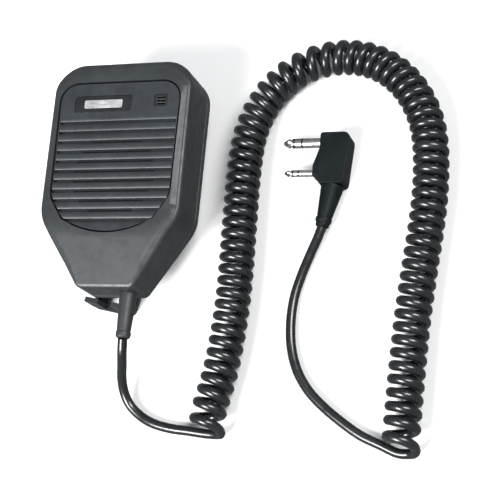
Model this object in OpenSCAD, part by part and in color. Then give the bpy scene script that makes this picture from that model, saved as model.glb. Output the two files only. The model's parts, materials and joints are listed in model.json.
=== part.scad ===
// Hand microphone of a two-way radio: a slim case with a louvred speaker grille, a press-to-talk
// bar on its left side, a swivelling spring clip on its back, and a curly cord with a two-pin plug.
// It lies on its clip. The origin is on the clip's swivel axis, at the height of the clip's
// outer face. +Z points out of the grille, +Y to the top of the case, +X to the right.

/* [Case] */
// Width of the case across its straight sides
case_w = 53; // [52.5:0.5:53.5]
// Height of the case above the swivel axis
case_top = 46.5; // [46:0.5:47.5]
// Depth of the case below the swivel axis
case_bottom = 36; // [35:0.5:38]
// Width of the case at its bottom edge
chin_w = 21; // [20:0.5:24]
// Thickness of the case at its top edge
thick_top = 22.5; // [22.2:0.1:23.5]
// Thickness of the case where its chin starts to slope
thick_brow = 20.8; // [20.8:0.1:21.6]
// Thickness of the case at its bottom edge
thick_bottom = 16; // [15.8:0.1:16.5]
// Wall thickness of the two shells
wall = 2; // [1.6:0.1:2.2]

/* [Grille] */
// Distance from one louvre to the next
rib_pitch = 3.6; // [3.4:0.1:3.8]
// Height of one groove between two louvres
groove_w = 1.3; // [1:0.1:1.6]
// Outer radius of the loudspeaker
speaker_r = 18; // [17:0.5:18]

/* [Clip] */
// Length of the clip from the swivel axis to its tip
clip_len = 39; // [38:0.5:42]
// Width of the clip at its tip
clip_w = 17; // [15:0.5:18]
// Angle that the clip is turned to, clockwise seen from the grille
clip_turn = 10.5; // [0:0.5:12]
// Gap between the clip's outer face and the back of the case
clip_h = 11; // [11:0.5:12]

/* [Cord] */
// Diameter of the cord
cord_d = 3.4; // [3.2:0.1:3.6]
// Outer diameter of the curly part
coil_d = 12.8; // [12:0.2:13.4]

/* [Plug] */
// Distance between the axes of the two plug pins
pin_spacing = 11.4; // [11:0.1:11.6]
// Radius of the large plug pin
large_pin_r = 1.75; // [1.7:0.05:1.8]
// Radius of the small plug pin
small_pin_r = 1.25; // [1.2:0.05:1.3]

/* [Hidden] */
$fn = 64;
gap = 0.3;                 // clearance round pieces that are let into others
over = 1;                  // how far a cutter runs past the face it cuts

// Case
back_z = clip_h;
inner_z = back_z + wall;                       // inner face of the back wall
part_z = back_z + 4.5;                         // parting plane of the two shells
brow_y = -17;                                  // where the chin starts to slope
face_tilt = atan((thick_top - thick_brow) / (case_top - brow_y));
face_z = back_z + thick_brow - brow_y * tan(face_tilt);
chin_drop = (thick_brow - thick_bottom) / (case_bottom + brow_y);
chin_angle = 32.6;                             // slope of the lower sides, from vertical
shoulder_y = -case_bottom + (case_w - chin_w) / 2 / tan(chin_angle);
front_wall = 3.6;
panel_t = 2.2;
edge_cut = 2.6;                                // bevel round the front edge
black = "#26292a";
dark = "#1c1e1f";

// Speaker and microphone, on the tilted face
speaker_y = 3.6;
port = [15.8, 30.6];
port_size = [5, 4.5];
badge = [-6.2, 30];
badge_size = [22, 6];
bar_size = [14.6, 3];
mic_r = 3;

// Board and screws
board_z = inner_z + 2.6;
board_t = 1.2;
board_spots = [[-14, 30.5], [8, 30.5], [-12, -12], [12, -12]];
case_spots = [[-18.5, 38], [18.5, 38], [-12.5, -22], [12.5, -22]];
screw_r = 1.25;

// Press-to-talk bar and its switch
ptt_hinge = [-22.2, 25];
ptt_y = [-8, 27.5];
ptt_z = [16.9, 26.4];
ptt_out = 28.4;
ptt_hole_r = 0.85;
ptt_pin_r = 0.8;
switch_y = 3;
switch_z = board_z + board_t + 2;
plunger_r = 1.2;
plunger_tip = -20.4;

// Clip
boss_r = 9;
boss_h = 1;
stem_r = 3.95;
bore_r = 4;
washer_t = 0.6;
clip_hinge_y = 6;
clip_hinge_z = 4.6;
clip_pin_r = 1;
clip_hole_r = 1.06;
jaw_t = 2;
jaw_neck = 5.9;

// Plug: it lies on its side, with its pins along -X
plug_x = [67.7, 78.5];
plug_y = [7.6, 26.5];
plug_t = 8.6;
large_pin_y = 24;
small_pin_y = large_pin_y - pin_spacing;
large_pin_len = 14.4;
small_pin_len = 10.9;
small_pin_root = 65.3;
pin_stub = 0.7;                                // radius of a pin's buried root, as a share of its own
pin_depth = 4.8;

// Cord routes, as points on the cord's centreline
relief = [6.3, -case_bottom, 19.5];
relief_end = [5.8, -52, 19];
mic_route = [relief_end, [5.2, -56, 17], [4, -60, 13], [2.6, -64, 8.6], [2.4, -68, 5],
    [4, -72, 2.8], [7.6, -75.4, 1.8], [13, -78.2, 1.8], [20, -79.8, 1.8], [27, -80.4, 1.8],
    [33, -81, 1.8], [37.4, -81.2, 2.4]];
coil_route = [[35, -80], [35.4, -73.5], [37, -66], [38.4, -58], [39.3, -50], [40, -40],
    [40.3, -30], [40.2, -20], [40, -10], [39.8, 0], [39.7, 10], [40, 20], [41, 28], [43.6, 36],
    [48, 43.5], [54.4, 49.8], [62, 53.8], [70, 55.6], [78, 55.4], [85, 53.4], [91.6, 49.6],
    [97.4, 44], [102, 37], [105.2, 29], [106.9, 20], [107.5, 10], [107.4, 0], [106.7, -10],
    [105.7, -20], [104.8, -30], [104, -40], [103.5, -50], [103.1, -60], [102.8, -70],
    [102.6, -77], [102.5, -83]];
plug_route = [[104.8, -84.6, 2.4], [100.6, -84.4, 1.8], [94.6, -82, 1.8], [88, -79.3, 1.8], [81, -75, 1.8],
    [74, -69.8, 1.8], [68.4, -64.4, 1.8], [64, -57.6, 1.8], [61.4, -49.6, 1.8], [60.5, -41, 1.8],
    [61, -32.4, 1.8], [63, -24.4, 2], [65.8, -17, 2.8], [68.4, -11, 3.8], [69.6, -7.4, 4.2]];
boot_end = [69.6, -7.4, 4.2];
boot_start = [72.4, plug_y[0], 4.3];

// ---- Outlines ------------------------------------------------------------------------------

// Points of an arc of radius r that rounds the corner b between a and c
function corner(a, b, c, r, steps = 6) =
    let (u = (a - b) / norm(a - b), v = (c - b) / norm(c - b))
    let (half = acos(max(-1, min(1, u * v))) / 2)
    let (m = (u + v) / norm(u + v), centre = b + m * r / sin(half))
    let (p = b + u * r / tan(half), q = b + v * r / tan(half))
    let (p_dir = atan2(p.y - centre.y, p.x - centre.x))
    let (turn = (180 - 2 * half) * sign(cross(b - a, c - b)))
    [for (i = [0:steps]) centre + r * [cos(p_dir + turn * i / steps), sin(p_dir + turn * i / steps)]];

// A closed outline from corners given as [x, y, radius]
function rounded(c, steps = 6) = let (n = len(c)) [for (i = [0:n - 1])
    let (a = c[(i + n - 1) % n], b = c[i], d = c[(i + 1) % n])
    each (b[2] > 0 ? corner([a.x, a.y], [b.x, b.y], [d.x, d.y], b[2], steps) : [[b.x, b.y]])];

// Front view of the case, moved inwards by d
function case_outline(d) =
    let (x = case_w / 2 - d, top = case_top - d, low = -case_bottom + d)
    let (sy = shoulder_y + d * tan(chin_angle / 2))
    let (cx = chin_w / 2 - d * tan((90 - chin_angle) / 2))
    rounded([[x, sy, 14], [x, top, 11 - d], [-x, top, 11 - d], [-x, sy, 14],
        [-cx, low, 3.2 - d], [cx, low, 3.2 - d]]);

// Front view of the grille panel, grown by d
function panel_outline(d) =
    let (x = 23.2, top = 38, bow = 32.7, half = 18, rise = 27.3, centre_y = -17.2 + bow)
    concat(corner([-x - d, 0], [-x - d, top + d], [0, top + d], 7 + d),
        corner([0, top + d], [x + d, top + d], [x + d, 0], 7 + d),
        corner([x + d, top], [x - 0.5 + d, -4], [half + d, centre_y - rise - d], 9),
        [for (a = [32:-8:-32]) [(bow + d) * sin(a), centre_y - (bow + d) * cos(a)]],
        corner([-half - d, centre_y - rise - d], [-x + 0.5 - d, -4], [-x - d, top], 9));

// Places children in the frame of the tilted front face: z = 0 is the face
module on_face() {
    translate([0, 0, face_z])
        rotate([face_tilt, 0, 0])
            children();
}

module prism(points, z0, z1) {
    translate([0, 0, z0])
        linear_extrude(z1 - z0)
            polygon(points);
}

// Box from one corner to the opposite one
module block(low, high) {
    translate(low)
        cube(high - low);
}

// A block with rounded corners in plan
module plate(size, r, z0, z1) {
    x = size.x / 2;
    y = size.y / 2;
    prism(rounded([[x, -y, r], [x, y, r], [-x, y, r], [-x, -y, r]], 4), z0, z1);
}

module disc(r, z0, z1) {
    translate([0, 0, z0])
        cylinder(h = z1 - z0, r = r);
}

module ring(r_in, r_out, z0, z1) {
    difference() {
        disc(r_out, z0, z1);
        disc(r_in, z0 - over, z1 + over);
    }
}

// Straight round bar from point a to point b
module rod(a, b, r, r_b = undef) {
    d = b - a;
    translate(a)
        rotate([0, acos(d.z / norm(d)), atan2(d.y, d.x)])
            cylinder(h = norm(d), r1 = r, r2 = is_undef(r_b) ? r : r_b);
}

// ---- Case ----------------------------------------------------------------------------------

module case_body(d, low, high) {
    // the part of the case's outer form, moved in by d, between low and the face moved down by high
    far = 100;
    half = case_w / 2 - d;
    cut = edge_cut;
    intersection() {
        prism(case_outline(d), low, far);
        on_face()
            rotate([90, 0, 0])
                translate([0, -high, -far])
                    linear_extrude(2 * far)
                        polygon([[-half, -far], [half, -far], [half, -cut], [half - cut, 0],
                            [-half + cut, 0], [-half, -cut]]);
        rotate([90, 0, 90])
            translate([0, 0, -far])
                linear_extrude(2 * far)
                    polygon([[-far, 0], [case_top - d, 0],
                        [case_top - d, back_z + thick_top - 4 - high],
                        [case_top - 4 - d, face_z + case_top * tan(face_tilt) - high],
                        [brow_y, back_z + thick_brow - high],
                        [-far, back_z + thick_brow - high - (far + brow_y) * chin_drop]]);
    }
}

module screw_boss(spot) {
    translate([spot.x, spot.y, 0])
        disc(3, inner_z + 0.2, face_z);
}

module ptt_window() {
    block([-case_w / 2 - over, ptt_y[0] - 0.6, ptt_z[0] - gap],
        [-case_w / 2 + wall + 1.5, ptt_y[1] + gap, ptt_z[1] + gap]);
}

module front_case() {
    ear_x = -case_w / 2 + 0.5;
    color(black)
    difference() {
        union() {
            difference() {
                case_body(0, part_z, 0);
                case_body(wall, part_z - over, front_wall);
            }
            intersection() {
                union() {
                    for (spot = case_spots)
                        screw_boss(spot);
                    for (z = [[part_z + 0.1, ptt_z[0] - gap], [ptt_z[1] + gap, ptt_z[1] + 1.7]])
                        block([ear_x, ptt_hinge.y - 2, z[0]], [ptt_hinge.x + 1.6, ptt_hinge.y + 2, z[1]]);
                }
                case_body(0.2, inner_z, 1);
            }
        }
        on_face() {
            prism(panel_outline(0.15), -panel_t, over);
            translate([0, speaker_y, 0])
                disc(speaker_r - 1, -front_wall - over, 0);
            translate([port.x, port.y, 0])
                disc(1.5, -front_wall - over, 0);
        }
        ptt_window();
        translate([ptt_hinge.x, ptt_hinge.y, 0])
            disc(ptt_pin_r, ptt_z[0] - 1, ptt_z[1] + 1.4);
        for (spot = case_spots)
            translate([spot.x, spot.y, 0])
                disc(screw_r, 0, inner_z + 8);
        rod(relief - [0, 2, 0], relief + [0, 5, 0], 2.95);
    }
}

module rear_case() {
    head_r = 2.6;
    color(black)
    difference() {
        union() {
            difference() {
                prism(case_outline(0), back_z, part_z);
                prism(case_outline(wall), inner_z, part_z + over);
            }
            disc(boss_r, back_z - boss_h, back_z);
            for (spot = board_spots)
                translate([spot.x, spot.y, 0])
                    disc(2.4, inner_z - 0.5, board_z);
        }
        disc(bore_r, 0, inner_z + over);
        for (spot = case_spots)
            translate([spot.x, spot.y, 0]) {
                disc(screw_r + 0.15, 0, inner_z + over);
                disc(head_r, 0, back_z + 1);
            }
        for (spot = board_spots)
            translate([spot.x, spot.y, 0])
                disc(0.9, inner_z - 0.8, board_z + over);
    }
}

module case_screws() {
    color("silver")
    for (spot = case_spots)
        translate([spot.x, spot.y, 0]) {
            difference() {
                disc(2.4, back_z + 0.1, back_z + 1);
                for (a = [0, 90])
                    rotate(a)
                        block([-1.4, -0.25, back_z - over], [1.4, 0.25, back_z + 0.6]);
            }
            disc(screw_r, back_z + 1, back_z + 8);
        }
}

// ---- Grille panel --------------------------------------------------------------------------

module grille_panel() {
    first = 23;
    count = 11;
    top = -0.25;
    color(black)
    on_face()
        difference() {
            prism(panel_outline(-0.15), -panel_t, top);
            for (i = [0:count - 1]) {
                y = first - i * rib_pitch;
                low = y - panel_floor_y(0);
                reach = low > 6 ? 22.6 : low > 2.4 ? 20 : 9;
                block([-reach, y - groove_w / 2, top - 1], [reach, y + groove_w / 2, over]);
                off = y - speaker_y;
                if (abs(off) < speaker_r - 4) {
                    slot = sqrt(pow(speaker_r - 2.5, 2) - off * off);
                    block([-slot, y - groove_w / 2 + 0.2, -panel_t - over],
                        [slot, y + groove_w / 2 - 0.2, over]);
                }
            }
            translate([badge.x, badge.y, 0])
                plate(badge_size + [0.3, 0.3], 1.1, top - 0.9, over);
            translate([port.x, port.y, 0])
                plate(port_size + [0.2, 0.2], 0.6, -panel_t - over, over);
        }
}

// Lowest point of the panel at x
function panel_floor_y(x) = -17.2 + 32.7 - sqrt(32.7 * 32.7 - x * x);

module nameplate() {
    color(dark)
    on_face()
        translate([badge.x, badge.y, 0])
            difference() {
                plate(badge_size, 1, -1.15, -0.45);
                plate(bar_size, 0.4, -0.75, over);
            }
}

module nameplate_bar() {
    color("silver")
    on_face()
        translate([badge.x, badge.y, 0])
            plate(bar_size, 0.4, -0.75, -0.35);
}

module mic_port_cover() {
    color(dark)
    on_face()
        translate([port.x, port.y, 0])
            difference() {
                plate(port_size, 0.5, -panel_t, -0.5);
                for (y = [-1.2, 0, 1.2])
                    block([-1.6, y - 0.3, -panel_t - over], [1.6, y + 0.3, over]);
            }
}

// ---- Loudspeaker and microphone ------------------------------------------------------------

module on_speaker() {
    on_face()
        translate([0, speaker_y, 0])
            children();
}

module speaker_cloth() {
    color("#111111")
    on_speaker()
        disc(speaker_r - 1.2, -panel_t - 0.35, -panel_t - 0.05);
}

module speaker_gasket() {
    color("#333333")
    on_speaker()
        ring(speaker_r - 3.2, speaker_r - 1.2, -front_wall, -panel_t - 0.35);
}

module speaker_basket() {
    color("gray")
    on_speaker()
        difference() {
            rotate_extrude()
                polygon([[0, -10], [8.5, -10], [8.5, -9], [15.5, -4.9], [speaker_r, -4.9],
                    [speaker_r, -front_wall], [14.8, -front_wall], [14.8, -4.5], [8, -8.4],
                    [8, -9], [0, -9]]);
            for (a = [45:90:315])
                rotate(a)
                    translate([11.6, 0, 0])
                        disc(1.8, -12, 0);
        }
}

module speaker_cone() {
    color("#444444")
    on_speaker()
        rotate_extrude()
            polygon([[0, -5.9], [3, -6.2], [5, -7.1], [13, -4], [14.7, -3.8], [14.7, -4.2],
                [13, -4.4], [5, -7.7], [4, -8.8], [3.4, -8.8], [3.4, -6.8], [0, -6.3]]);
}

module speaker_magnet() {
    color("#555555")
    on_speaker()
        disc(7.5, -12.8, -10);
}

module mic_element() {
    color("silver")
    on_face()
        translate([port.x, port.y, 0])
            disc(mic_r, -7.4, -front_wall - 0.9);
}

module mic_holder() {
    color("#222222")
    on_face()
        translate([port.x, port.y, 0])
            difference() {
                disc(mic_r + 1.3, -7.8, -front_wall);
                disc(mic_r, -8.8, -front_wall - 0.9);
                disc(1.2, -front_wall - 2, -front_wall + over);
            }
}

// ---- Electrics -----------------------------------------------------------------------------

module circuit_board() {
    color("darkgreen")
    difference() {
        prism(rounded([[18, -15.5, 2], [18, 33.6, 2], [-18, 33.6, 2], [-18, -15.5, 2]], 3),
            board_z, board_z + board_t);
        for (spot = board_spots)
            translate([spot.x, spot.y, 0])
                disc(1.1, 0, board_z + 2 * board_t);
    }
}

module board_screws() {
    color("silver")
    for (spot = board_spots)
        translate([spot.x, spot.y, 0]) {
            disc(0.9, inner_z - 0.6, board_z + board_t);
            disc(1.8, board_z + board_t, board_z + board_t + 1.1);
        }
}

module speaker_leads() {
    color("firebrick")
    for (x = [-1.2, 1.2])
        rod([x, 14, board_z + board_t + 0.2], [x * 2, 13, face_z - 7.5], 0.4);
}

module cord_leads() {
    color("goldenrod")
    for (i = [0:3])
        rod(relief + [(i - 1.5) * 0.8, 13.1, 0], [relief.x + (i - 1.5) * 2.4, -13, board_z + board_t + 0.6],
            0.35);
}

module cord_inner_end() {
    color(black)
    rod(relief + [0, 4.2, 0], relief + [0, 13, 0], cord_d / 2);
}

module cable_tie() {
    color("ivory")
    translate(relief + [0, 6.5, 0])
        rotate([-90, 0, 0])
            union() {
                ring(cord_d / 2, cord_d / 2 + 0.8, 0, 2.4);
                block([-1.6, -cord_d / 2 - 2, 0], [1.6, -cord_d / 2 - 0.6, 2.4]);
            }
}

module strain_relief() {
    color(dark)
    union() {
        rod(relief + [0, 2.1, 0], relief + [0, 4.2, 0], 3.6);
        rod(relief - [0, 1, 0], relief + [0, 2.2, 0], 2.85);
        rod(relief - [0, 0.3, 0], relief_end, 3.2, 2.2);
    }
}

// ---- Press-to-talk bar ---------------------------------------------------------------------

module ptt_button() {
    inner = -case_w / 2 + wall + 0.35;
    grip = [-3.8, 3.8];
    color(dark)
    difference() {
        union() {
            // the bar that shows, with bevelled long edges
            translate([0, ptt_y[1], 0])
                rotate([90, 0, 0])
                    linear_extrude(ptt_y[1] - ptt_y[0])
                        polygon([[inner + 1, ptt_z[0]], [inner + 1, ptt_z[1]], [-ptt_out + 1.2, ptt_z[1]],
                            [-ptt_out, ptt_z[1] - 1.4], [-ptt_out, ptt_z[0] + 1.4],
                            [-ptt_out + 1.2, ptt_z[0]]]);
            // lip behind the wall, which keeps the free end in
            block([inner + 0.35, ptt_y[0] - 2.2, ptt_z[0]], [inner + 1.4, ptt_y[0] + 5, ptt_z[1] - 1.2]);
            // hinge eye
            block([inner + 0.5, ptt_hinge.y - 2, ptt_z[0]], [ptt_hinge.x + 1.6, ptt_hinge.y + 2, ptt_z[1]]);
            // nose that works the switch
            block([inner + 0.5, switch_y - 1.5, switch_z - 1], [plunger_tip - 0.1, switch_y + 1.5, switch_z + 1]);
        }
        translate([ptt_hinge.x, ptt_hinge.y, 0])
            disc(ptt_hole_r, ptt_z[0] - over, ptt_z[1] + over);
        for (y = grip)
            block([-ptt_out - over, y - 0.4, ptt_z[0] - over], [-ptt_out + 0.5, y + 0.4, ptt_z[1] + over]);
    }
}

module ptt_pin() {
    color("silver")
    translate([ptt_hinge.x, ptt_hinge.y, 0])
        disc(ptt_pin_r, ptt_z[0] - 1, ptt_z[1] + 1.4);
}

module ptt_switch_body() {
    low = board_z + board_t;
    color("#303030")
    difference() {
        block([-18, switch_y - 3, low], [-12, switch_y + 3, low + 4]);
        rod([-19, switch_y, switch_z], [-13.6, switch_y, switch_z], plunger_r + 0.05);
    }
}

module ptt_switch_plunger() {
    color("white")
    rod([plunger_tip, switch_y, switch_z], [-15.2, switch_y, switch_z], plunger_r);
}

// ---- Swivel clip ---------------------------------------------------------------------------

module turned() {
    rotate(-clip_turn)
        children();
}

// Round bar along X through the clip's hinge
module hinge_bar(x0, x1, r) {
    translate([x0, clip_hinge_y, clip_hinge_z])
        rotate([0, 90, 0])
            cylinder(h = x1 - x0, r = r);
}

module swivel_base() {
    top = back_z - boss_h - 0.1;
    low = top - 1.7;
    ear = [6.3, 8];
    color(black)
    turned()
        difference() {
            union() {
                disc(boss_r, low, top);
                disc(stem_r, low, inner_z + 0.1);
                block([-ear[1], 2, low], [ear[1], 9.6, top]);
                for (x = [-ear[1], ear[0]]) {
                    hinge_bar(x, x + ear[1] - ear[0], 2.3);
                    block([x, clip_hinge_y - 2.3, clip_hinge_z], [x + ear[1] - ear[0], clip_hinge_y + 2.3, low + 0.1]);
                }
            }
            hinge_bar(-9, 9, clip_pin_r);
            disc(1.5, low + 1, inner_z + over);
        }
}

module swivel_washer() {
    color("silver")
    turned()
        ring(1.5, 6.4, inner_z + 0.1, inner_z + 0.1 + washer_t);
}

module swivel_screw() {
    head = inner_z + 0.1 + washer_t;
    color("silver")
    turned()
        difference() {
            union() {
                disc(1.5, back_z - 1.5, head);
                disc(2.9, head, head + 1.6);
            }
            for (a = [0, 90])
                rotate(a)
                    block([-1.8, -0.3, head + 0.7], [1.8, 0.3, head + 3]);
        }
}

module clip_jaw() {
    tip = -clip_len;
    half = clip_w / 2;
    slot = 2.7;
    tab_end = 17;
    ear = [4.2, jaw_neck];
    color(black)
    turned()
        difference() {
            union() {
                prism(rounded([[half, tip, 2], [half, -7, 3], [jaw_neck, -2, 2], [jaw_neck, tab_end, 2.5],
                    [-jaw_neck, tab_end, 2.5], [-jaw_neck, -2, 2], [-half, -7, 3], [-half, tip, 2]], 4), 0, jaw_t);
                // two teeth that close on the back of the case
                for (x = [-half + 0.6, slot])
                    block([x, tip + 0.2, jaw_t - 0.5], [x + half - 0.6 - slot, tip + 2, back_z - 0.5]);
                // stiffening ribs along the back of the jaw
                for (x = [-half + 0.6, half - 2])
                    block([x, tip + 1, jaw_t - 0.5], [x + 1.4, -8, jaw_t + 1]);
                // hinge eyes
                for (x = [-ear[1], ear[0]]) {
                    hinge_bar(x, x + ear[1] - ear[0], 2.6);
                    block([x, clip_hinge_y - 2.6, jaw_t - 0.5], [x + ear[1] - ear[0], clip_hinge_y + 2.6, clip_hinge_z]);
                }
            }
            hinge_bar(-9, 9, clip_hole_r);
            // window at the tip
            block([-slot, tip + 1.4, -over], [slot, tip + 9, jaw_t + over]);
            // grip grooves of the thumb end
            for (y = [11.5:1.6:15.5])
                block([-jaw_neck - over, y, -over], [jaw_neck + over, y + 0.7, 0.4]);
        }
}

module clip_pin() {
    color("silver")
    turned()
        hinge_bar(-8, 8, clip_pin_r);
}

module clip_spring() {
    wire_r = 0.45;
    turns = 7;
    pitch = 0.88;
    coil_r = 1.65;
    first = -pitch * (turns - 1) / 2;
    color("silver")
    turned()
        union() {
            for (i = [0:turns - 1])
                translate([first + i * pitch, clip_hinge_y, clip_hinge_z])
                    rotate([0, 90, 0])
                        rotate_extrude()
                            translate([coil_r, 0])
                                circle(r = wire_r, $fn = 16);
            rod([first, clip_hinge_y - 0.4, clip_hinge_z - coil_r], [first, -6, jaw_t + 0.5], wire_r);
            rod([-first, clip_hinge_y - 0.4, clip_hinge_z + coil_r],
                [-first, -3, back_z - boss_h - 2.3], wire_r);
        }
}

// ---- Cord ----------------------------------------------------------------------------------

// Tangent of a route at its point i
function along(p, i) =
    let (a = p[max(i - 1, 0)], b = p[min(i + 1, len(p) - 1)])
    (b - a) / norm(b - a);

// Eight-sided tube of radius r round a route
module tube(p, r) {
    sides = 8;
    n = len(p);
    points = [for (i = [0:n - 1])
        let (t = along(p, i), side = cross(t, [0, 0, 1]) / norm(cross(t, [0, 0, 1])), up = cross(side, t))
        for (k = [0:sides - 1])
            let (a = (k + 0.5) * 360 / sides)
            p[i] + r * (cos(a) * side + sin(a) * up)];
    walls = [for (i = [0:n - 2], k = [0:sides - 1])
        let (a = i * sides + k, b = i * sides + (k + 1) % sides)
        [a, b, b + sides, a + sides]];
    ends = [[for (k = [sides - 1:-1:0]) k], [for (k = [0:sides - 1]) (n - 1) * sides + k]];
    polyhedron(points, concat(walls, ends));
}

module cord_mic_end() {
    color(dark)
    tube(mic_route, cord_d / 2);
}

module cord_coil() {
    color(dark)
    tube([for (p = coil_route) [p.x, p.y, coil_d / 2]], coil_d / 2);
}

module cord_plug_end() {
    color(dark)
    tube(plug_route, cord_d / 2);
}

// ---- Plug ----------------------------------------------------------------------------------

module plug_body() {
    z = plug_t / 2;
    color(black)
    difference() {
        union() {
            prism(rounded([[plug_x[1] - 1.4, plug_y[0], 1.5], [plug_x[1], plug_y[1], 2.2],
                [plug_x[0], plug_y[1], 1], [plug_x[0], plug_y[0], 1]], 4), 0, plug_t);
            // raised pad between the pins
            translate([0, 0, 1.2])
                linear_extrude(plug_t - 2.4)
                    polygon([[plug_x[0] + 1, large_pin_y - 2.4], [plug_x[0], large_pin_y - 2.4],
                        [small_pin_root, small_pin_y + 2], [small_pin_root, small_pin_y - 1.7],
                        [plug_x[0] + 1, small_pin_y - 1.7]]);
        }
        for (pin = [[plug_x[0], large_pin_y, large_pin_r], [small_pin_root, small_pin_y, small_pin_r]])
            rod([pin.x - over, pin.y, z], [pin.x + pin_depth, pin.y, z], pin_stub * pin.z);
    }
}

module plug_boot() {
    color(dark)
    rod(boot_end, boot_start, 2.4, 4.1);
}

// A pin along -X from root, in slices given as [from, to], measured from its tip
module pin_slice(root, y, len, r, from, to) {
    x = root - len;
    rod([x + to, y, plug_t / 2], [x + from, y, plug_t / 2], r);
}

// The long contact, with the thinner root that is moulded into the plug's body
module pin_sleeve(root, y, len, r, from) {
    union() {
        pin_slice(root, y, len, r, from, len);
        pin_slice(root, y, len, r * pin_stub, len - over, len + pin_depth);
    }
}

module pin_tip(root, y, len, r, tip) {
    x = root - len;
    translate([x, y, plug_t / 2])
        rotate([0, 90, 0])
            rotate_extrude()
                polygon([[0, 0], [r * 0.35, 0], [r, r * 1.1], [r * 0.66, r * 1.8], [r, tip - 0.4],
                    [r, tip], [0, tip]]);
}

// Lengths, from the tip: tip, insulator, ring, insulator, sleeve
large_cuts = [3.6, 4.3, 6.6, 7.3];
small_cuts = [2.9, 3.5, 5, 5.6];

module pin_insulators(root, y, len, r, cuts) {
    for (i = [0, 2])
        pin_slice(root, y, len, r, cuts[i], cuts[i + 1]);
}

module large_pin_sleeve() {
    color("silver")
    pin_sleeve(plug_x[0], large_pin_y, large_pin_len, large_pin_r, large_cuts[3]);
}

module large_pin_ring() {
    color("silver")
    pin_slice(plug_x[0], large_pin_y, large_pin_len, large_pin_r, large_cuts[1], large_cuts[2]);
}

module large_pin_tip() {
    color("silver")
    pin_tip(plug_x[0], large_pin_y, large_pin_len, large_pin_r, large_cuts[0]);
}

module large_pin_insulators() {
    color(dark)
    pin_insulators(plug_x[0], large_pin_y, large_pin_len, large_pin_r, large_cuts);
}

module small_pin_sleeve() {
    color("silver")
    pin_sleeve(small_pin_root, small_pin_y, small_pin_len, small_pin_r, small_cuts[3]);
}

module small_pin_ring() {
    color("silver")
    pin_slice(small_pin_root, small_pin_y, small_pin_len, small_pin_r, small_cuts[1], small_cuts[2]);
}

module small_pin_tip() {
    color("silver")
    pin_tip(small_pin_root, small_pin_y, small_pin_len, small_pin_r, small_cuts[0]);
}

module small_pin_insulators() {
    color(dark)
    pin_insulators(small_pin_root, small_pin_y, small_pin_len, small_pin_r, small_cuts);
}

front_case();
rear_case();
grille_panel();
nameplate();
nameplate_bar();
mic_port_cover();
speaker_cloth();
speaker_gasket();
speaker_basket();
speaker_cone();
speaker_magnet();
mic_element();
mic_holder();
circuit_board();
board_screws();
case_screws();
speaker_leads();
cord_leads();
cord_inner_end();
cable_tie();
strain_relief();
ptt_button();
ptt_pin();
ptt_switch_body();
ptt_switch_plunger();
swivel_base();
swivel_washer();
swivel_screw();
clip_jaw();
clip_pin();
clip_spring();
cord_mic_end();
cord_coil();
cord_plug_end();
plug_body();
plug_boot();
large_pin_sleeve();
large_pin_ring();
large_pin_tip();
large_pin_insulators();
small_pin_sleeve();
small_pin_ring();
small_pin_tip();
small_pin_insulators();
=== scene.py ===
"""Hand microphone with a curly cord and a two-pin plug, lying on its clip."""

import json
import math

import bmesh
import bpy
from mathutils import Matrix, Vector

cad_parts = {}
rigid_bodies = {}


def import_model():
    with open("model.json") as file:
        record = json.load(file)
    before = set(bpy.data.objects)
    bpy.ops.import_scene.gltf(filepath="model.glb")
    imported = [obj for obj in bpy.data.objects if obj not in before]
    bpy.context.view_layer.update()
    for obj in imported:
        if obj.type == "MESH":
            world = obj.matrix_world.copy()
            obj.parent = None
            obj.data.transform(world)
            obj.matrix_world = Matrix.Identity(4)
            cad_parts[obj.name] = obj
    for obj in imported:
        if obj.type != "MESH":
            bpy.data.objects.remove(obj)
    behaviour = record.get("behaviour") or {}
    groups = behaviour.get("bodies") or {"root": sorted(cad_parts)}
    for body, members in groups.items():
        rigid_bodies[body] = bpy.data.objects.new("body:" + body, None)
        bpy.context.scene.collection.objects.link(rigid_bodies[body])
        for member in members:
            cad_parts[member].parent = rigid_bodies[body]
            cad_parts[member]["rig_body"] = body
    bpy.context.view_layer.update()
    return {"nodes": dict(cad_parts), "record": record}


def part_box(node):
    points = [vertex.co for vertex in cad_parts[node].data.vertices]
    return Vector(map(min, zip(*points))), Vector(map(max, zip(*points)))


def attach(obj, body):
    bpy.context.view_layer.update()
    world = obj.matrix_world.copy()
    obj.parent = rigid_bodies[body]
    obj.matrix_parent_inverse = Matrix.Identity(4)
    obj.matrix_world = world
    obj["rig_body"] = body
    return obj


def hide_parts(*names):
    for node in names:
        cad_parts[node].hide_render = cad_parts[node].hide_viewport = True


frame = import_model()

MM = 0.001

# ---- Case dimensions, in millimetres, as in the CAD ---------------------------------------
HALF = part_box("front_case")[1].x / MM
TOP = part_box("front_case")[1].y / MM
BOTTOM = -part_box("front_case")[0].y / MM
BACK_Z = 11
PART_Z = 15.5
WALL = 2
FRONT_WALL = 3.6
CHIN_HALF = 10.5
CHIN_ANGLE = math.radians(32.6)
THICK_TOP = 22.5
THICK_BROW = 20.8
THICK_BOTTOM = 16
BROW_Y = -17
FACE_SLOPE = (THICK_TOP - THICK_BROW) / (TOP - BROW_Y)
CHIN_SLOPE = (THICK_BROW - THICK_BOTTOM) / (BOTTOM + BROW_Y)
FACE_Z = BACK_Z + THICK_BROW - BROW_Y * FACE_SLOPE
SHOULDER_Y = -BOTTOM + (HALF - CHIN_HALF) / math.tan(CHIN_ANGLE)
PANEL_DEPTH = 2.2
PANEL_TOP = -0.3
PANEL_LOW = -17.2
PANEL_GAP_IN = 0.4
PANEL_GAP_OUT = 0.3
RIB_PITCH = 3.6
FIRST_GROOVE = 23
GROOVES = 11
GROOVE = 1.3
SPEAKER_Y = 3.6
SPEAKER_R = 18
PORT = (15.8, 30.6)
BADGE = (-6.2, 30)
CASE_SPOTS = [(-18.5, 38), (18.5, 38), (-12.5, -22), (12.5, -22)]
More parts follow.
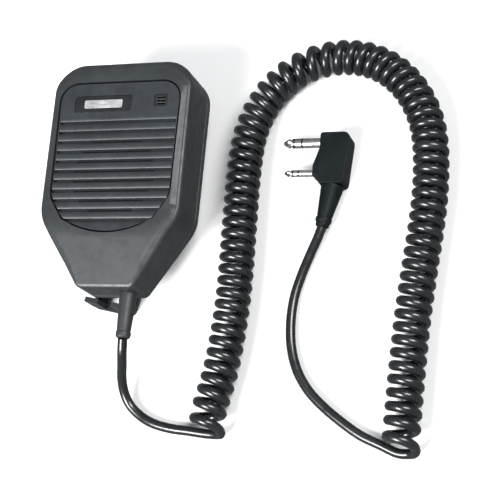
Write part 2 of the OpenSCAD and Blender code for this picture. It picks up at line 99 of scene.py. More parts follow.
BOARD_SPOTS = [(-14, 30.5), (8, 30.5), (-12, -12), (12, -12)]
CORNER_R = 11
SHOULDER_R = 14
CHIN_R = 3.2

# ---- Cord, in millimetres, as in the CAD -----------------------------------------------------
CORD_D = 3.4
COIL_D = 12.8
TURNS = 70.5
STEPS = 20
RELIEF = Vector((6.3, -36, 19.5))
MIC_ROUTE = [(5.8, -52, 19), (5.2, -56, 17), (4, -60, 13), (2.6, -64, 8.6), (2.4, -68, 5),
             (4, -72, 2.8), (7.6, -75.4, 1.8), (13, -78.2, 1.8), (20, -79.8, 1.8), (27, -80.4, 1.8),
             (33, -81, 1.8), (37.4, -81.2, 2.4)]
MIC_RISE = (39.5, -81.2, 4.0)
COIL_ROUTE = [(35, -80), (35.4, -73.5), (37, -66), (38.4, -58), (39.3, -50), (40, -40), (40.3, -30),
              (40.2, -20), (40, -10), (39.8, 0), (39.7, 10), (40, 20), (41, 28), (43.6, 36),
              (48, 43.5), (54.4, 49.8), (62, 53.8), (70, 55.6), (78, 55.4), (85, 53.4), (91.6, 49.6),
              (97.4, 44), (102, 37), (105.2, 29), (106.9, 20), (107.5, 10), (107.4, 0),
              (106.7, -10), (105.7, -20), (104.8, -30), (104, -40), (103.5, -50), (103.1, -60),
              (102.8, -70), (102.6, -77), (102.5, -83)]
PLUG_RISE = (106.9, -84.3, 4.0)
PLUG_ROUTE = [(104.8, -84.6, 2.4), (100.6, -84.4, 1.8), (94.6, -82, 1.8), (88, -79.3, 1.8),
              (81, -75, 1.8), (74, -69.8, 1.8),
              (68.4, -64.4, 1.8), (64, -57.6, 1.8), (61.4, -49.6, 1.8), (60.5, -41, 1.8),
              (61, -32.4, 1.8), (63, -24.4, 2), (65.8, -17, 2.8), (68.4, -11, 3.8),
              (69.6, -7.4, 4.2)]
BOOT_START = Vector((72.4, 7.6, 4.3))

# ---- Camera ----------------------------------------------------------------------------------


def make_camera():
    """A camera below and to the right of square-on, which looks down at the object."""
    target = Vector((42.5, -14.5, 0)) * MM
    turn = Matrix.Rotation(math.radians(16.5), 4, "X") @ Matrix.Rotation(math.radians(18.5), 4, "Y")
    data = bpy.data.cameras.new("camera")
    data.lens = 94.75
    data.clip_start = 0.01
    cam = bpy.data.objects.new("camera", data)
    bpy.context.scene.collection.objects.link(cam)
    cam.matrix_world = Matrix.Translation(target) @ turn @ Matrix.Translation((0, 0, 0.47))
    bpy.context.scene.camera = cam


make_camera()

# ---- Mesh helpers ----------------------------------------------------------------------------


def mesh_object(name, points, faces):
    """A mesh from points in millimetres."""
    data = bpy.data.meshes.new(name)
    data.from_pydata([Vector(p) * MM for p in points], [], faces)
    data.validate()
    obj = bpy.data.objects.new(name, data)
    bpy.context.scene.collection.objects.link(obj)
    bm = bmesh.new()
    bm.from_mesh(data)
    bmesh.ops.recalc_face_normals(bm, faces=bm.faces)
    bm.to_mesh(data)
    bm.free()
    return obj


def loft(name, rings, closed_ends=True):
    """A skin over rings that have the same number of points."""
    n = len(rings[0])
    points = [p for ring in rings for p in ring]
    faces = []
    for k in range(len(rings) - 1):
        for i in range(n):
            a, b = k * n + i, k * n + (i + 1) % n
            faces.append((a, b, b + n, a + n))
    if closed_ends:
        faces.append(tuple(range(n)))
        faces.append(tuple(range((len(rings) - 1) * n, len(rings) * n)))
    return mesh_object(name, points, faces)


def arc(centre, radius, start, turn, steps):
    angles = [start + turn * i / steps for i in range(steps + 1)]
    return [centre + radius * Vector((math.cos(a), math.sin(a))) for a in angles]


def rounded(corners, steps=10):
    """A closed outline from corners given as (x, y, radius)."""
    out = []
    count = len(corners)
    for i, (x, y, radius) in enumerate(corners):
        b = Vector((x, y))
        u = (Vector(corners[i - 1][:2]) - b).normalized()
        v = (Vector(corners[(i + 1) % count][:2]) - b).normalized()
        if radius <= 0:
            out.append(b)
            continue
        half = u.angle(v) / 2
        centre = b + (u + v).normalized() * radius / math.sin(half)
        start = b + u * radius / math.tan(half) - centre
        side = 1 if (-u).cross(v) > 0 else -1
        out += arc(centre, radius, math.atan2(start.y, start.x), side * (math.pi - 2 * half), steps)
    return out


def subdivided(points, longest, closed=True):
    """The same outline, with no side longer than longest."""
    out = []
    for a, b in zip(points, points[1:] + points[:1] if closed else points[1:]):
        parts = max(1, math.ceil((b - a).length / longest))
        out += [a.lerp(b, i / parts) for i in range(parts)]
    return out if closed else out + [points[-1]]


def prism(name, outline, low, high):
    return loft(name, [[(p.x, p.y, z) for p in outline] for z in (low, high)])


def box_piece(name, low, high):
    x0, y0, z0 = low
    x1, y1, z1 = high
    return prism(name, [Vector(p) for p in ((x0, y0), (x1, y0), (x1, y1), (x0, y1))], z0, z1)


def plate_outline(centre, size, radius, steps=6):
    x, y = size[0] / 2, size[1] / 2
    corners = [(x, -y, radius), (x, y, radius), (-x, y, radius), (-x, -y, radius)]
    return [p + Vector(centre) for p in rounded(corners, steps)]


def disc(name, centre, radius, low, high, steps=48):
    circle = arc(Vector(centre), radius, 0, 2 * math.pi * (1 - 1 / steps), steps - 1)
    return prism(name, circle, low, high)


def lathe(name, start, end, profile, steps=40):
    """A round piece from start to end, its profile given as (share of the length, radius)."""
    axis = end - start
    t = axis.normalized()
    side = t.cross(Vector((0, 0, 1))).normalized()
    up = side.cross(t)
    rings = []
    for share, radius in profile:
        centre = start + axis * share
        rings.append([centre + radius * (math.cos(a) * side + math.sin(a) * up)
                      for a in (2 * math.pi * i / steps for i in range(steps))])
    return loft(name, rings)


def tilted(obj):
    """Moves a piece from the flat into the frame of the tilted front face."""
    turn = Matrix.Rotation(math.atan(FACE_SLOPE), 4, "X")
    obj.data.transform(Matrix.Translation((0, 0, FACE_Z * MM)) @ turn)
    return obj


def apply_modifiers(obj):
    """Bakes the modifiers into the mesh."""
    graph = bpy.context.evaluated_depsgraph_get()
    data = bpy.data.meshes.new_from_object(obj.evaluated_get(graph))
    obj.modifiers.clear()
    obj.data = data


def combine(obj, operation, cutters):
    for cutter in cutters:
        modifier = obj.modifiers.new("cut", "BOOLEAN")
        modifier.operation = operation
        modifier.solver = "EXACT"
        modifier.object = cutter
        apply_modifiers(obj)
        bpy.data.objects.remove(cutter)


def cut(obj, *cutters):
    combine(obj, "DIFFERENCE", cutters)


def join(obj, *others):
    combine(obj, "UNION", others)


def soften(obj, width, segments=3, angle=32):
    """Rounds the sharp edges of a piece, width in millimetres."""
    bm = bmesh.new()
    bm.from_mesh(obj.data)
    bmesh.ops.remove_doubles(bm, verts=bm.verts, dist=0.004 * MM)
    bmesh.ops.dissolve_limit(bm, angle_limit=math.radians(1), verts=bm.verts, edges=bm.edges)
    bm.to_mesh(obj.data)
    bm.free()
    if width:
        bevel = obj.modifiers.new("round", "BEVEL")
        bevel.width = width * MM
        bevel.segments = segments
        bevel.limit_method = "ANGLE"
        bevel.angle_limit = math.radians(angle)
        bevel.use_clamp_overlap = True
        apply_modifiers(obj)
    smooth(obj, angle)


def smooth(obj, angle=32):
    obj.data.shade_smooth()
    for face in obj.data.polygons:
        face.use_smooth = len(face.vertices) < 9
    obj.data.set_sharp_from_angle(angle=math.radians(angle))
    normals = obj.modifiers.new("normals", "WEIGHTED_NORMAL")
    normals.keep_sharp = True
    normals.weight = 60
    apply_modifiers(obj)


# ---- Materials -------------------------------------------------------------------------------


def nodes_for(name):
    material = bpy.data.materials.new(name)
    material.use_nodes = True
    tree = material.node_tree
    shader = tree.nodes["Principled BSDF"]
    coord = tree.nodes.new("ShaderNodeTexCoord")
    return material, tree, shader, coord.outputs["Object"]


def noise(tree, place, size, detail=3.0, stretch=None):
    """Noise whose features are about size millimetres across."""
    if stretch:
        mapping = tree.nodes.new("ShaderNodeMapping")
        mapping.inputs["Scale"].default_value = stretch
        tree.links.new(place, mapping.inputs["Vector"])
        place = mapping.outputs["Vector"]
    node = tree.nodes.new("ShaderNodeTexNoise")
    node.inputs["Scale"].default_value = 1 / (size * MM)
    node.inputs["Detail"].default_value = detail
    tree.links.new(place, node.inputs["Vector"])
    return node.outputs["Fac"]


def spread(tree, value, low, high, start=0.3, end=0.7):
    node = tree.nodes.new("ShaderNodeMapRange")
    node.inputs["From Min"].default_value = start
    node.inputs["From Max"].default_value = end
    node.inputs["To Min"].default_value = low
    node.inputs["To Max"].default_value = high
    tree.links.new(value, node.inputs["Value"])
    return node.outputs["Result"]


def mixed(tree, factor, first, second):
    node = tree.nodes.new("ShaderNodeMix")
    node.data_type = "RGBA"
    tree.links.new(factor, node.inputs["Factor"])
    for socket, value in ((6, first), (7, second)):
        if isinstance(value, tuple):
            node.inputs[socket].default_value = (*value, 1)
        else:
            tree.links.new(value, node.inputs[socket])
    return node.outputs[2]


def edge_mask(tree, place):
    """High along sharp edges, broken up where the wear is uneven."""
    geometry = tree.nodes.new("ShaderNodeNewGeometry")
    bevel = tree.nodes.new("ShaderNodeBevel")
    bevel.samples = 4
    bevel.inputs["Radius"].default_value = 0.35 * MM
    between = tree.nodes.new("ShaderNodeVectorMath")
    between.operation = "DISTANCE"
    tree.links.new(bevel.outputs["Normal"], between.inputs[0])
    tree.links.new(geometry.outputs["Normal"], between.inputs[1])
    uneven = tree.nodes.new("ShaderNodeMath")
    uneven.operation = "MULTIPLY"
    tree.links.new(between.outputs["Value"], uneven.inputs[0])
    tree.links.new(spread(tree, noise(tree, place, 1.6, 4), 0.2, 1), uneven.inputs[1])
    return uneven.outputs["Value"]


def bumped(tree, shader, height, depth):
    """Bump of depth millimetres."""
    node = tree.nodes.new("ShaderNodeBump")
    node.inputs["Strength"].default_value = 1.0
    node.inputs["Distance"].default_value = depth * MM
    tree.links.new(height, node.inputs["Height"])
    tree.links.new(node.outputs["Normal"], shader.inputs["Normal"])


def moulded(name, colour, rough, grain=0.22, depth=0.012, wear=0.35, shine=0.5, coat=0.0):
    """Moulded plastic or rubber: fine grain, uneven gloss, faint dust and paler worn edges."""
    material, tree, shader, place = nodes_for(name)
    patches = spread(tree, noise(tree, place, 9, 4), 0, 1, 0.35, 0.7)
    lighter = tuple(min(1, c * 1.35 + 0.002) for c in colour)
    base = mixed(tree, patches, colour, lighter)
    edges = spread(tree, edge_mask(tree, place), 0, wear, 0.02, 0.3)
    worn = tuple(min(1, c * 2.4 + 0.012) for c in colour)
    base = mixed(tree, edges, base, worn)
    tree.links.new(base, shader.inputs["Base Color"])
    gloss = spread(tree, noise(tree, place, 2.5, 5), rough - 0.06, rough + 0.08)
    tree.links.new(gloss, shader.inputs["Roughness"])
    shader.inputs["Specular IOR Level"].default_value = shine
    shader.inputs["Coat Weight"].default_value = coat
    shader.inputs["Coat Roughness"].default_value = 0.12
    bumped(tree, shader, noise(tree, place, grain, 2), depth)
    return material


def metal(name, colour, rough, stretch=(1, 1, 1), depth=0.003):
    """Plated or drawn metal, with fine marks along it and dull patches."""
    material, tree, shader, place = nodes_for(name)
    marks = noise(tree, place, 0.5, 4, stretch)
    patches = spread(tree, noise(tree, place, 3, 3), 0, 1)
    darker = tuple(c * 0.72 for c in colour)
    tree.links.new(mixed(tree, patches, darker, colour), shader.inputs["Base Color"])
    tree.links.new(spread(tree, marks, rough - 0.07, rough + 0.1), shader.inputs["Roughness"])
    shader.inputs["Metallic"].default_value = 1.0
    bumped(tree, shader, marks, depth)
    return material


def weave(name, colour):
    """Fine open speaker cloth."""
    material, tree, shader, place = nodes_for(name)
    heights = []
    for direction in ("X", "Y"):
        wave = tree.nodes.new("ShaderNodeTexWave")
        wave.bands_direction = direction
        wave.inputs["Scale"].default_value = 900
        tree.links.new(place, wave.inputs["Vector"])
        heights.append(wave.outputs["Fac"])
    thread = tree.nodes.new("ShaderNodeMath")
    thread.operation = "MULTIPLY"
    tree.links.new(heights[0], thread.inputs[0])
    tree.links.new(heights[1], thread.inputs[1])
    lighter = tuple(c * 2.2 for c in colour)
    threads = mixed(tree, thread.outputs["Value"], colour, lighter)
    tree.links.new(threads, shader.inputs["Base Color"])
    shader.inputs["Roughness"].default_value = 0.9
    shader.inputs["Sheen Weight"].default_value = 0.2
    bumped(tree, shader, thread.outputs["Value"], 0.08)
    return material


def laminate(name, colour, copper):
    """Circuit board: solder resist over faint tracks."""
    material, tree, shader, place = nodes_for(name)
    cells = tree.nodes.new("ShaderNodeTexBrick")
    cells.inputs["Scale"].default_value = 160
    cells.inputs["Mortar Size"].default_value = 0.04
    cells.inputs["Color1"].default_value = (0, 0, 0, 1)
    cells.inputs["Color2"].default_value = (0.15, 0.15, 0.15, 1)
    cells.inputs["Mortar"].default_value = (1, 1, 1, 1)
    tree.links.new(place, cells.inputs["Vector"])
    tree.links.new(mixed(tree, cells.outputs["Color"], colour, copper), shader.inputs["Base Color"])
    gloss = spread(tree, noise(tree, place, 1.5), 0.25, 0.4)
    tree.links.new(gloss, shader.inputs["Roughness"])
    bumped(tree, shader, cells.outputs["Fac"], 0.02)
    return material


MATERIALS = {
    "case_plastic": moulded("case_plastic", (0.020, 0.023, 0.025), 0.40, 0.25, 0.010),
    "grille_plastic": moulded("grille_plastic", (0.019, 0.022, 0.025), 0.38, 0.25, 0.008),
    "dark_plastic": moulded("dark_plastic", (0.010, 0.011, 0.012), 0.3, 0.2, 0.004),
    "silver_bar": metal("silver_bar", (0.9, 0.91, 0.92), 0.48, (0.1, 1, 1)),
    "cloth": weave("cloth", (0.006, 0.006, 0.007)),
    "foam": moulded("foam", (0.02, 0.02, 0.022), 0.9, 0.4, 0.08, 0.1, 0.2),
    "basket_steel": metal("basket_steel", (0.42, 0.42, 0.44), 0.42),
    "cone_paper": moulded("cone_paper", (0.03, 0.03, 0.032), 0.85, 0.5, 0.03, 0.2, 0.3),
    "magnet": moulded("magnet", (0.06, 0.06, 0.065), 0.6, 0.3, 0.02, 0.6),
    "capsule": metal("capsule", (0.66, 0.66, 0.67), 0.28),
    "rubber": moulded("rubber", (0.018, 0.019, 0.021), 0.46, 0.3, 0.008, 0.3, 0.55),
    "board": laminate("board", (0.012, 0.11, 0.045), (0.03, 0.2, 0.08)),
    "screw_steel": metal("screw_steel", (0.56, 0.56, 0.58), 0.32),
    "lead_red": moulded("lead_red", (0.42, 0.03, 0.02), 0.35, 0.5, 0.003, 0.1),
    "lead_yellow": moulded("lead_yellow", (0.6, 0.38, 0.04), 0.35, 0.5, 0.003, 0.1),
    "tie_nylon": moulded("tie_nylon", (0.7, 0.68, 0.6), 0.4, 0.4, 0.003, 0.1),
    "ptt_plastic": moulded("ptt_plastic", (0.016, 0.018, 0.020), 0.42, 0.25, 0.010),
    "switch_plastic": moulded("switch_plastic", (0.02, 0.02, 0.022), 0.4),
    "plunger_plastic": moulded("plunger_plastic", (0.62, 0.62, 0.6), 0.4, 0.3, 0.003, 0.1),
    "clip_plastic": moulded("clip_plastic", (0.022, 0.024, 0.026), 0.42, 0.25, 0.010),
    "spring_steel": metal("spring_steel", (0.6, 0.6, 0.61), 0.26),
    "cord_jacket": moulded("cord_jacket", (0.007, 0.008, 0.009), 0.27, 0.6, 0.004, 0.0, 0.6, 0.25),
    "plug_plastic": moulded("plug_plastic", (0.004, 0.006, 0.007), 0.45, 0.25, 0.010, 0.3, 0.15),
    "plug_metal": metal("plug_metal", (0.66, 0.65, 0.63), 0.3, (1, 1, 1), 0.001),
    "plug_ring": moulded("plug_ring", (0.01, 0.01, 0.01), 0.35, 0.3, 0.002, 0.1),
}
SLOTS = {part["node"]: part["material_slot"] for part in frame["record"]["subparts"]}


def dress(obj, slot):
    obj.data.materials.clear()
    obj.data.materials.append(MATERIALS[slot])


def place_piece(obj, node, *others):
    """Finishes a piece that stands for a CAD node: material, body and what it replaces."""
    dress(obj, SLOTS[node])
    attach(obj, frame["nodes"][node]["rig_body"])
    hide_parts(node, *others)
    return obj


# ---- Cord ------------------------------------------------------------------------------------


def through(points, parts):
    """A smooth line through points, with parts steps between each two."""
    out = []
    for i in range(len(points) - 1):
        a = points[max(i - 1, 0)]
        b, c = points[i], points[i + 1]
        d = points[min(i + 2, len(points) - 1)]
        for k in range(parts):
            t = k / parts
            out.append(0.5 * (2 * b + (c - a) * t + (2 * a - 5 * b + 4 * c - d) * t * t
                              + (3 * b - a - 3 * c + d) * t ** 3))
    return out + [points[-1]]


def line_length(points):
    return sum((b - a).length for a, b in zip(points, points[1:]))


def pull(share):
    """How far the curly part is stretched at this share of its length, 1 where it is slack."""
    looped = 0.34 * math.exp(-((share - 0.455) / 0.035) ** 2)
    near_end = min(share, 1 - share)
    return 1 + looped + 0.12 * math.exp(-near_end / 0.12) + 1.1 * math.exp(-near_end / 0.008)


def helix():
    """The curly part's centreline, wound left-handed round its route, from its outer side."""
    axis = through([Vector((x, y, COIL_D / 2)) for x, y in COIL_ROUTE], 40)
    total = line_length(axis)
    run, angle = [0.0], [0.0]
    for a, b in zip(axis, axis[1:]):
        step = (b - a).length
        run.append(run[-1] + step)
        angle.append(angle[-1] + step / pull((run[-1] - step / 2) / total))
    scale = TURNS * 2 * math.pi / angle[-1]
    radius = (COIL_D - CORD_D) / 2
    points, k = [], 0
    for i in range(round(TURNS * STEPS) + 1):
        phi = 2 * math.pi * i / STEPS
        while k < len(angle) - 2 and angle[k + 1] * scale < phi:
            k += 1
        share = (phi / scale - angle[k]) / (angle[k + 1] - angle[k])
        centre = axis[k].lerp(axis[k + 1], share)
        ahead = axis[min(k + 20, len(axis) - 1)] - axis[max(k - 19, 0)]
        side = ahead.cross(Vector((0, 0, 1))).normalized()
        points.append(centre + radius * (math.cos(phi) * side + Vector((0, 0, math.sin(phi)))))
    return points


def make_cord():
    """The whole cord as one curve: straight end, curly part, straight end."""
    turns = helix()
    mic = through([Vector(p) for p in (*MIC_ROUTE, MIC_RISE)] + turns[:2], 8)
    plug = through(turns[-2:] + [Vector(p) for p in (PLUG_RISE, *PLUG_ROUTE)], 8)
    points = mic[:-8] + turns[1:-1] + plug[8:]
    data = bpy.data.curves.new("curly_cord", "CURVE")
    data.dimensions = "3D"
    data.bevel_depth = CORD_D / 2 * MM
    data.bevel_resolution = 4
    data.use_fill_caps = True
    spline = data.splines.new("POLY")
    spline.points.add(len(points) - 1)
    for target, point in zip(spline.points, points):
        target.co = (*(point * MM), 1)
    spline.use_smooth = True
    cord = bpy.data.objects.new("curly_cord", data)
    bpy.context.scene.collection.objects.link(cord)
    return cord, line_length(points) * MM


cord, cord_length = make_cord()
place_piece(cord, "cord_coil", "cord_mic_end", "cord_plug_end")

# ---- Strain relief and plug ------------------------------------------------------------------


def make_relief():
    """Tapered strain relief with a ring near its end and a collar inside the case."""
    end = Vector(MIC_ROUTE[0])
    start = RELIEF + Vector((0, 0.3, 0))
    profile = [(0, 3.05), (0.015, 3.2), (0.03, 3.2), (0.06, 3.12)]
    profile += [(0.06 + 0.76 * i / 6, 3.12 - 0.62 * i / 6) for i in range(1, 7)]
    profile += [(0.835, 2.42), (0.85, 2.42), (0.86, 2.62), (0.875, 2.68), (0.955, 2.62), (0.975, 2.5),
                (0.99, 2.2), (1.0, 1.9)]
    relief = lathe("strain_relief_boot", start, end, profile)
    neck = lathe("neck", RELIEF + Vector((0, 2.15, 0)), start, [(0, 2.85), (1, 2.85)])
    collar = lathe("collar", RELIEF + Vector((0, 4.2, 0)), RELIEF + Vector((0, 2.1, 0)),
                   [(0, 3.3), (0.15, 3.6), (1, 3.6)])
    join(relief, neck, collar)
    smooth(relief, 40)
    return place_piece(relief, "strain_relief")


def make_boot():
    """Tapered boot between the plug and its cord."""
    end = Vector(PLUG_ROUTE[-1])
    profile = [(0, 4.1), (0.05, 4.1), (0.09, 3.95)]
    profile += [(0.09 + 0.66 * i / 6, 3.95 - 1.25 * i / 6) for i in range(1, 7)]
    profile += [(0.765, 2.6), (0.78, 2.6), (0.79, 2.86), (0.81, 2.92), (0.87, 2.86), (0.89, 2.72),
                (0.9, 2.46), (0.97, 2.4), (0.99, 2.2), (1.0, 1.85)]
    boot = lathe("plug_strain_boot", BOOT_START, end, profile)
    smooth(boot, 40)
    return place_piece(boot, "plug_boot")


def copied(node, name, width, segments=3, angle=32):
    """A piece with the CAD node's form and rounded edges."""
    source = frame["nodes"][node]
    obj = bpy.data.objects.new(name, source.data.copy())
    bpy.context.scene.collection.objects.link(obj)
    soften(obj, width, segments, angle)
    return place_piece(obj, node)


make_relief()
make_boot()
copied("plug_body", "right_angle_plug", 0.7, 4)

# ---- Case ------------------------------------------------------------------------------------


def blend_step(value):
    value = max(0.0, min(1.0, value))
    return value * value * (3 - 2 * value)


def face_height(y):
    """Height of the front face, with a soft bend where the chin starts."""
    soft = 3.0
    below = BROW_Y - y
    if below <= -soft:
        drop = 0.0
    elif below >= soft:
        drop = below * (CHIN_SLOPE - FACE_SLOPE)
    else:
        drop = (below + soft) ** 2 / (4 * soft) * (CHIN_SLOPE - FACE_SLOPE)
    return FACE_Z + y * FACE_SLOPE - drop


def case_outline(inset=0.0):
    """The case's outline from the middle of the bottom edge, up the right side, down the left."""
    shoulder = SHOULDER_Y + inset * math.tan(CHIN_ANGLE / 2)
    chin = CHIN_HALF - inset * math.tan((math.pi / 2 - CHIN_ANGLE) / 2)
    x, top, low = HALF - inset, TOP - inset, -BOTTOM + inset
    corners = [(0, low, 0), (chin, low, CHIN_R - inset), (x, shoulder, SHOULDER_R),
               (x, top, CORNER_R - inset), (0, top, 0)]
    right = rounded(corners + [(-99, 0, 0)], 14)[:-1]
    right = subdivided(right, 2.0, False)
    return right + [Vector((-p.x, p.y)) for p in reversed(right[1:-1])]


def inward(points):
    """Unit vectors that point into a closed outline."""
    out = []
    for i, p in enumerate(points):
        along = points[(i + 1) % len(points)] - points[i - 1]
        out.append(Vector((-along.y, along.x)).normalized())
    return out


def edge_form(p, way):
    """Radius of the front edge at p, then the width and fall of the sloping rim inside it."""
    up = blend_step((p.y + BOTTOM) / 9)
    top = blend_step(-way.y * 1.15)
    return 0.9 + 0.6 * up + 2.7 * top, 0.3 + 1.5 * up, 0.12 + 0.78 * up - 0.45 * top


def case_form(name, inset, low, lower_front):
    """The outer form of the front shell, moved in by inset, with its face lowered."""
    outline = case_outline(inset)
    ways = inward(outline)
    steps = 7

    def ring(share_in, share_down, share_rim=0.0):
        out = []
        for p, way in zip(outline, ways):
            radius, rim, fall = edge_form(p, way)
            q = p + way * (radius * share_in + rim * share_rim)
            down = radius * share_down + fall * (1 - share_rim)
            out.append((q.x, q.y, face_height(q.y) - lower_front - down))
        return out

    rings = [[(p.x, p.y, low) for p in outline]]
    for i in range(steps + 1):
        a = math.pi / 2 * i / steps
        rings.append(ring(1 - math.cos(a), 1 - math.sin(a)))
    crown = ring(1, 0, 1)
    rings.append(crown)
    shell = loft(name, rings, closed_ends=False)
    bm = bmesh.new()
    bm.from_mesh(shell.data)
    bm.verts.ensure_lookup_table()
    n = len(outline)
    bm.faces.new([bm.verts[i] for i in range(n)])
    first = (len(rings) - 1) * n
    for i in range(n // 2):
        corners = [i, i + 1, n - i - 1] + ([n - i] if i else [])
        bm.faces.new([bm.verts[first + k] for k in dict.fromkeys(corners)])
    bmesh.ops.recalc_face_normals(bm, faces=bm.faces)
    bm.to_mesh(shell.data)
    bm.free()
    return shell


def panel_outline(grow):
    """The grille panel's outline: straight top and sides, and a bowed lower edge."""
    x, top, bow, half, rise = 23.2, 38, 32.7, 18, 27.3
    centre_y = PANEL_LOW + bow
    reach = math.radians(32)
    right = rounded([(0, 0, 0), (half + grow, centre_y - rise - grow, 0), (x - 0.5 + grow, -4, 9),
                     (x + grow, top + grow, 7 + grow), (0, top + grow, 0)], 10)[2:-1]
    bottom = arc(Vector((0, centre_y)), bow + grow, -math.pi / 2 - reach, 2 * reach, 28)
    left = [Vector((-p.x, p.y)) for p in reversed(right)]
    return subdivided(left + bottom + right, 3.0)


def make_front_case():
    """Front shell: hollow, with the grille's pocket, the speaker's mouth and the bar's window."""
    case = case_form("front_shell", 0, PART_Z, 0)
    cavity = case_form("cavity", WALL, PART_Z - 1, FRONT_WALL)
    pocket = tilted(prism("pocket", panel_outline(PANEL_GAP_OUT), -PANEL_DEPTH, 6))
    mouth = tilted(disc("mouth", (0, SPEAKER_Y), SPEAKER_R - 1, -FRONT_WALL - 1, 0))
    hole = tilted(disc("hole", PORT, 1.5, -FRONT_WALL - 1, 0, 24))
    bar_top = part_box("ptt_button")[1].y / MM
    window = box_piece("window", (-HALF - 1, -8.35, 16.65), (-HALF + 3.5, bar_top + 0.25, 26.65))
    gland_ends = RELIEF - Vector((0, 2, 0)), RELIEF + Vector((0, 5, 0))
    gland = lathe("gland", *gland_ends, [(0, 2.95), (1, 2.95)])
    cut(case, cavity, pocket, mouth, hole, window, gland)
    soften(case, 0.14, 2, 40)
    return place_piece(case, "front_case")


def make_rear_case():
    """Rear shell, with a rounded back edge, the clip's boss, posts and screw seats."""
    outline = case_outline()
    ways = inward(outline)
    radius, steps = 1.8, 6
    rings = []
    for i in range(steps + 1):
        a = math.pi / 2 * i / steps
        shift = radius * (1 - math.sin(a))
        height = BACK_Z + radius * (1 - math.cos(a))
        rings.append([(*(p + way * shift), height) for p, way in zip(outline, ways)])
    rings.append([(p.x, p.y, PART_Z - 0.3) for p in outline])
    rings.append([(*(p + way * 0.3), PART_Z - 0.12) for p, way in zip(outline, ways)])
    rings.append([(*(p + way * 0.3), PART_Z) for p, way in zip(outline, ways)])
    case = loft("rear_shell", rings)
    cut(case, prism("inside", case_outline(WALL), BACK_Z + WALL, PART_Z + 1))
    posts = [disc("post", spot, 2.4, BACK_Z + 1.5, 15.6, 24) for spot in BOARD_SPOTS]
    join(case, disc("boss", (0, 0), 9, BACK_Z - 1, BACK_Z + 0.5, 64), *posts)
    holes = [disc("bore", (0, 0), 4, 0, 20)]
    for spot in CASE_SPOTS:
        holes.append(disc("screw_hole", spot, 1.4, 0, 20, 24))
        holes.append(disc("screw_seat", spot, 2.6, 0, BACK_Z + 1, 32))
    cut(case, *holes)
    soften(case, 0.2, 2, 40)
    return place_piece(case, "rear_case")


# ---- Grille ----------------------------------------------------------------------------------


def groove_section():
    """One groove between two ribs, from crown to crown, as (y, z) from the groove's middle."""
    half, flank, deep = GROOVE / 2, 0.14, 1.65
    wide = RIB_PITCH / 2 - half
    out = [(RIB_PITCH / 2, PANEL_TOP + 2)]
    out += [(RIB_PITCH / 2 - wide * k / 6, PANEL_TOP - 0.26 * (k / 6) ** 2) for k in range(7)]
    out += [(half - flank * 0.4, PANEL_TOP - 0.5), (half - flank, PANEL_TOP - deep)]
    return out + [(-y, z) for y, z in reversed(out)]


def make_grille():
    """Grille panel: ribs with grooves between them, open over the speaker."""
    panel = prism("louvred_grille", panel_outline(-PANEL_GAP_IN), -PANEL_DEPTH, PANEL_TOP)
    section = groove_section()
    cutters = []
    for i in range(GROOVES):
        y = FIRST_GROOVE - i * RIB_PITCH
        above = y - PANEL_LOW
        reach = 22.3 if above > 6 else 19.6 if above > 2.6 else 9.5
        sections = [[(x, y + dy, z) for dy, z in section] for x in (-reach, reach)]
        cutters.append(loft("groove", sections))
        off = y - SPEAKER_Y
        if abs(off) < SPEAKER_R - 4:
            slot = math.sqrt((SPEAKER_R - 2.5) ** 2 - off * off)
            outline = plate_outline((0, y), (2 * slot, GROOVE - 0.5), 0.3, 4)
            cutters.append(prism("slot", outline, -4, 1))
    cutters.append(prism("badge_seat", plate_outline(BADGE, (22.3, 6.3), 1.1), PANEL_TOP - 0.9, 1))
    cutters.append(prism("port_hole", plate_outline(PORT, (5.2, 4.7), 0.6), -4, 1))
    cut(panel, *cutters)
    tilted(panel)
    soften(panel, 0.07, 2, 50)
    return place_piece(panel, "grille_panel")


make_front_case()
make_rear_case()
make_grille()
copied("nameplate", "badge_plate", 0.12, 2)
copied("nameplate_bar", "badge_bar", 0.08, 2)
copied("mic_port_cover", "port_cover", 0.1, 2)

# ---- Press-to-talk bar and clip --------------------------------------------------------------

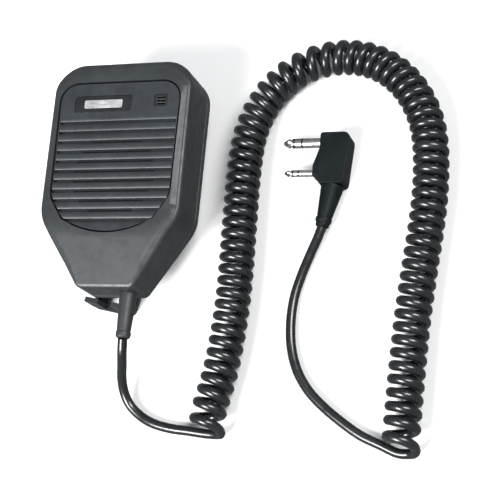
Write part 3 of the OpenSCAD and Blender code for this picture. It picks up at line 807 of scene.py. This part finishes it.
copied("ptt_button", "talk_bar", 0.35, 3, 40)
copied("clip_jaw", "clip_lever", 0.35, 3, 40)
copied("swivel_base", "clip_swivel_base", 0.25, 3, 40)

# ---- CAD nodes that stay, with their materials -----------------------------------------------

for node_name, node_object in frame["nodes"].items():
    if not node_object.hide_render:
        node_object.data.materials.clear()
        node_object.data.materials.append(MATERIALS[SLOTS[node_name]])

# ---- Floor and light -------------------------------------------------------------------------


def make_floor():
    size = 3000
    floor = mesh_object("floor", [(-size, -size, -0.05), (size, -size, -0.05), (size, size, -0.05),
                                  (-size, size, -0.05)], [(0, 1, 2, 3)])
    material, tree, shader, place = nodes_for("floor_card")
    tint = spread(tree, noise(tree, place, 60), 0, 1)
    pale = mixed(tree, tint, (0.86, 0.86, 0.86), (0.88, 0.88, 0.88))
    tree.links.new(pale, shader.inputs["Base Color"])
    shader.inputs["Roughness"].default_value = 0.9
    shader.inputs["Specular IOR Level"].default_value = 0.1
    floor.data.materials.append(material)
    floor.visible_glossy = False


def soft_box(name, direction, distance, size, power):
    """A square soft box that looks at the middle of the object."""
    data = bpy.data.lights.new(name, "AREA")
    data.shape = "RECTANGLE"
    data.size, data.size_y = size
    data.energy = power
    lamp = bpy.data.objects.new(name, data)
    bpy.context.scene.collection.objects.link(lamp)
    way = Vector(direction).normalized()
    lamp.location = Vector((0.035, -0.015, 0)) + way * distance
    lamp.rotation_mode = "QUATERNION"
    lamp.rotation_quaternion = (-way).to_track_quat("-Z", "Y")


def make_light():
    soft_box("key_light", (-0.38, -0.62, 0.72), 1.1, (0.5, 0.45), 22)
    soft_box("top_light", (0.52, 0.2, 0.83), 1.2, (0.32, 0.7), 14)
    world = bpy.data.worlds.new("studio")
    world.use_nodes = True
    world.node_tree.nodes["Background"].inputs["Color"].default_value = (0.93, 0.96, 1.0, 1)
    world.node_tree.nodes["Background"].inputs["Strength"].default_value = 0.27
    bpy.context.scene.world = world
    bpy.context.scene.view_settings.view_transform = "Standard"


make_floor()
make_light()
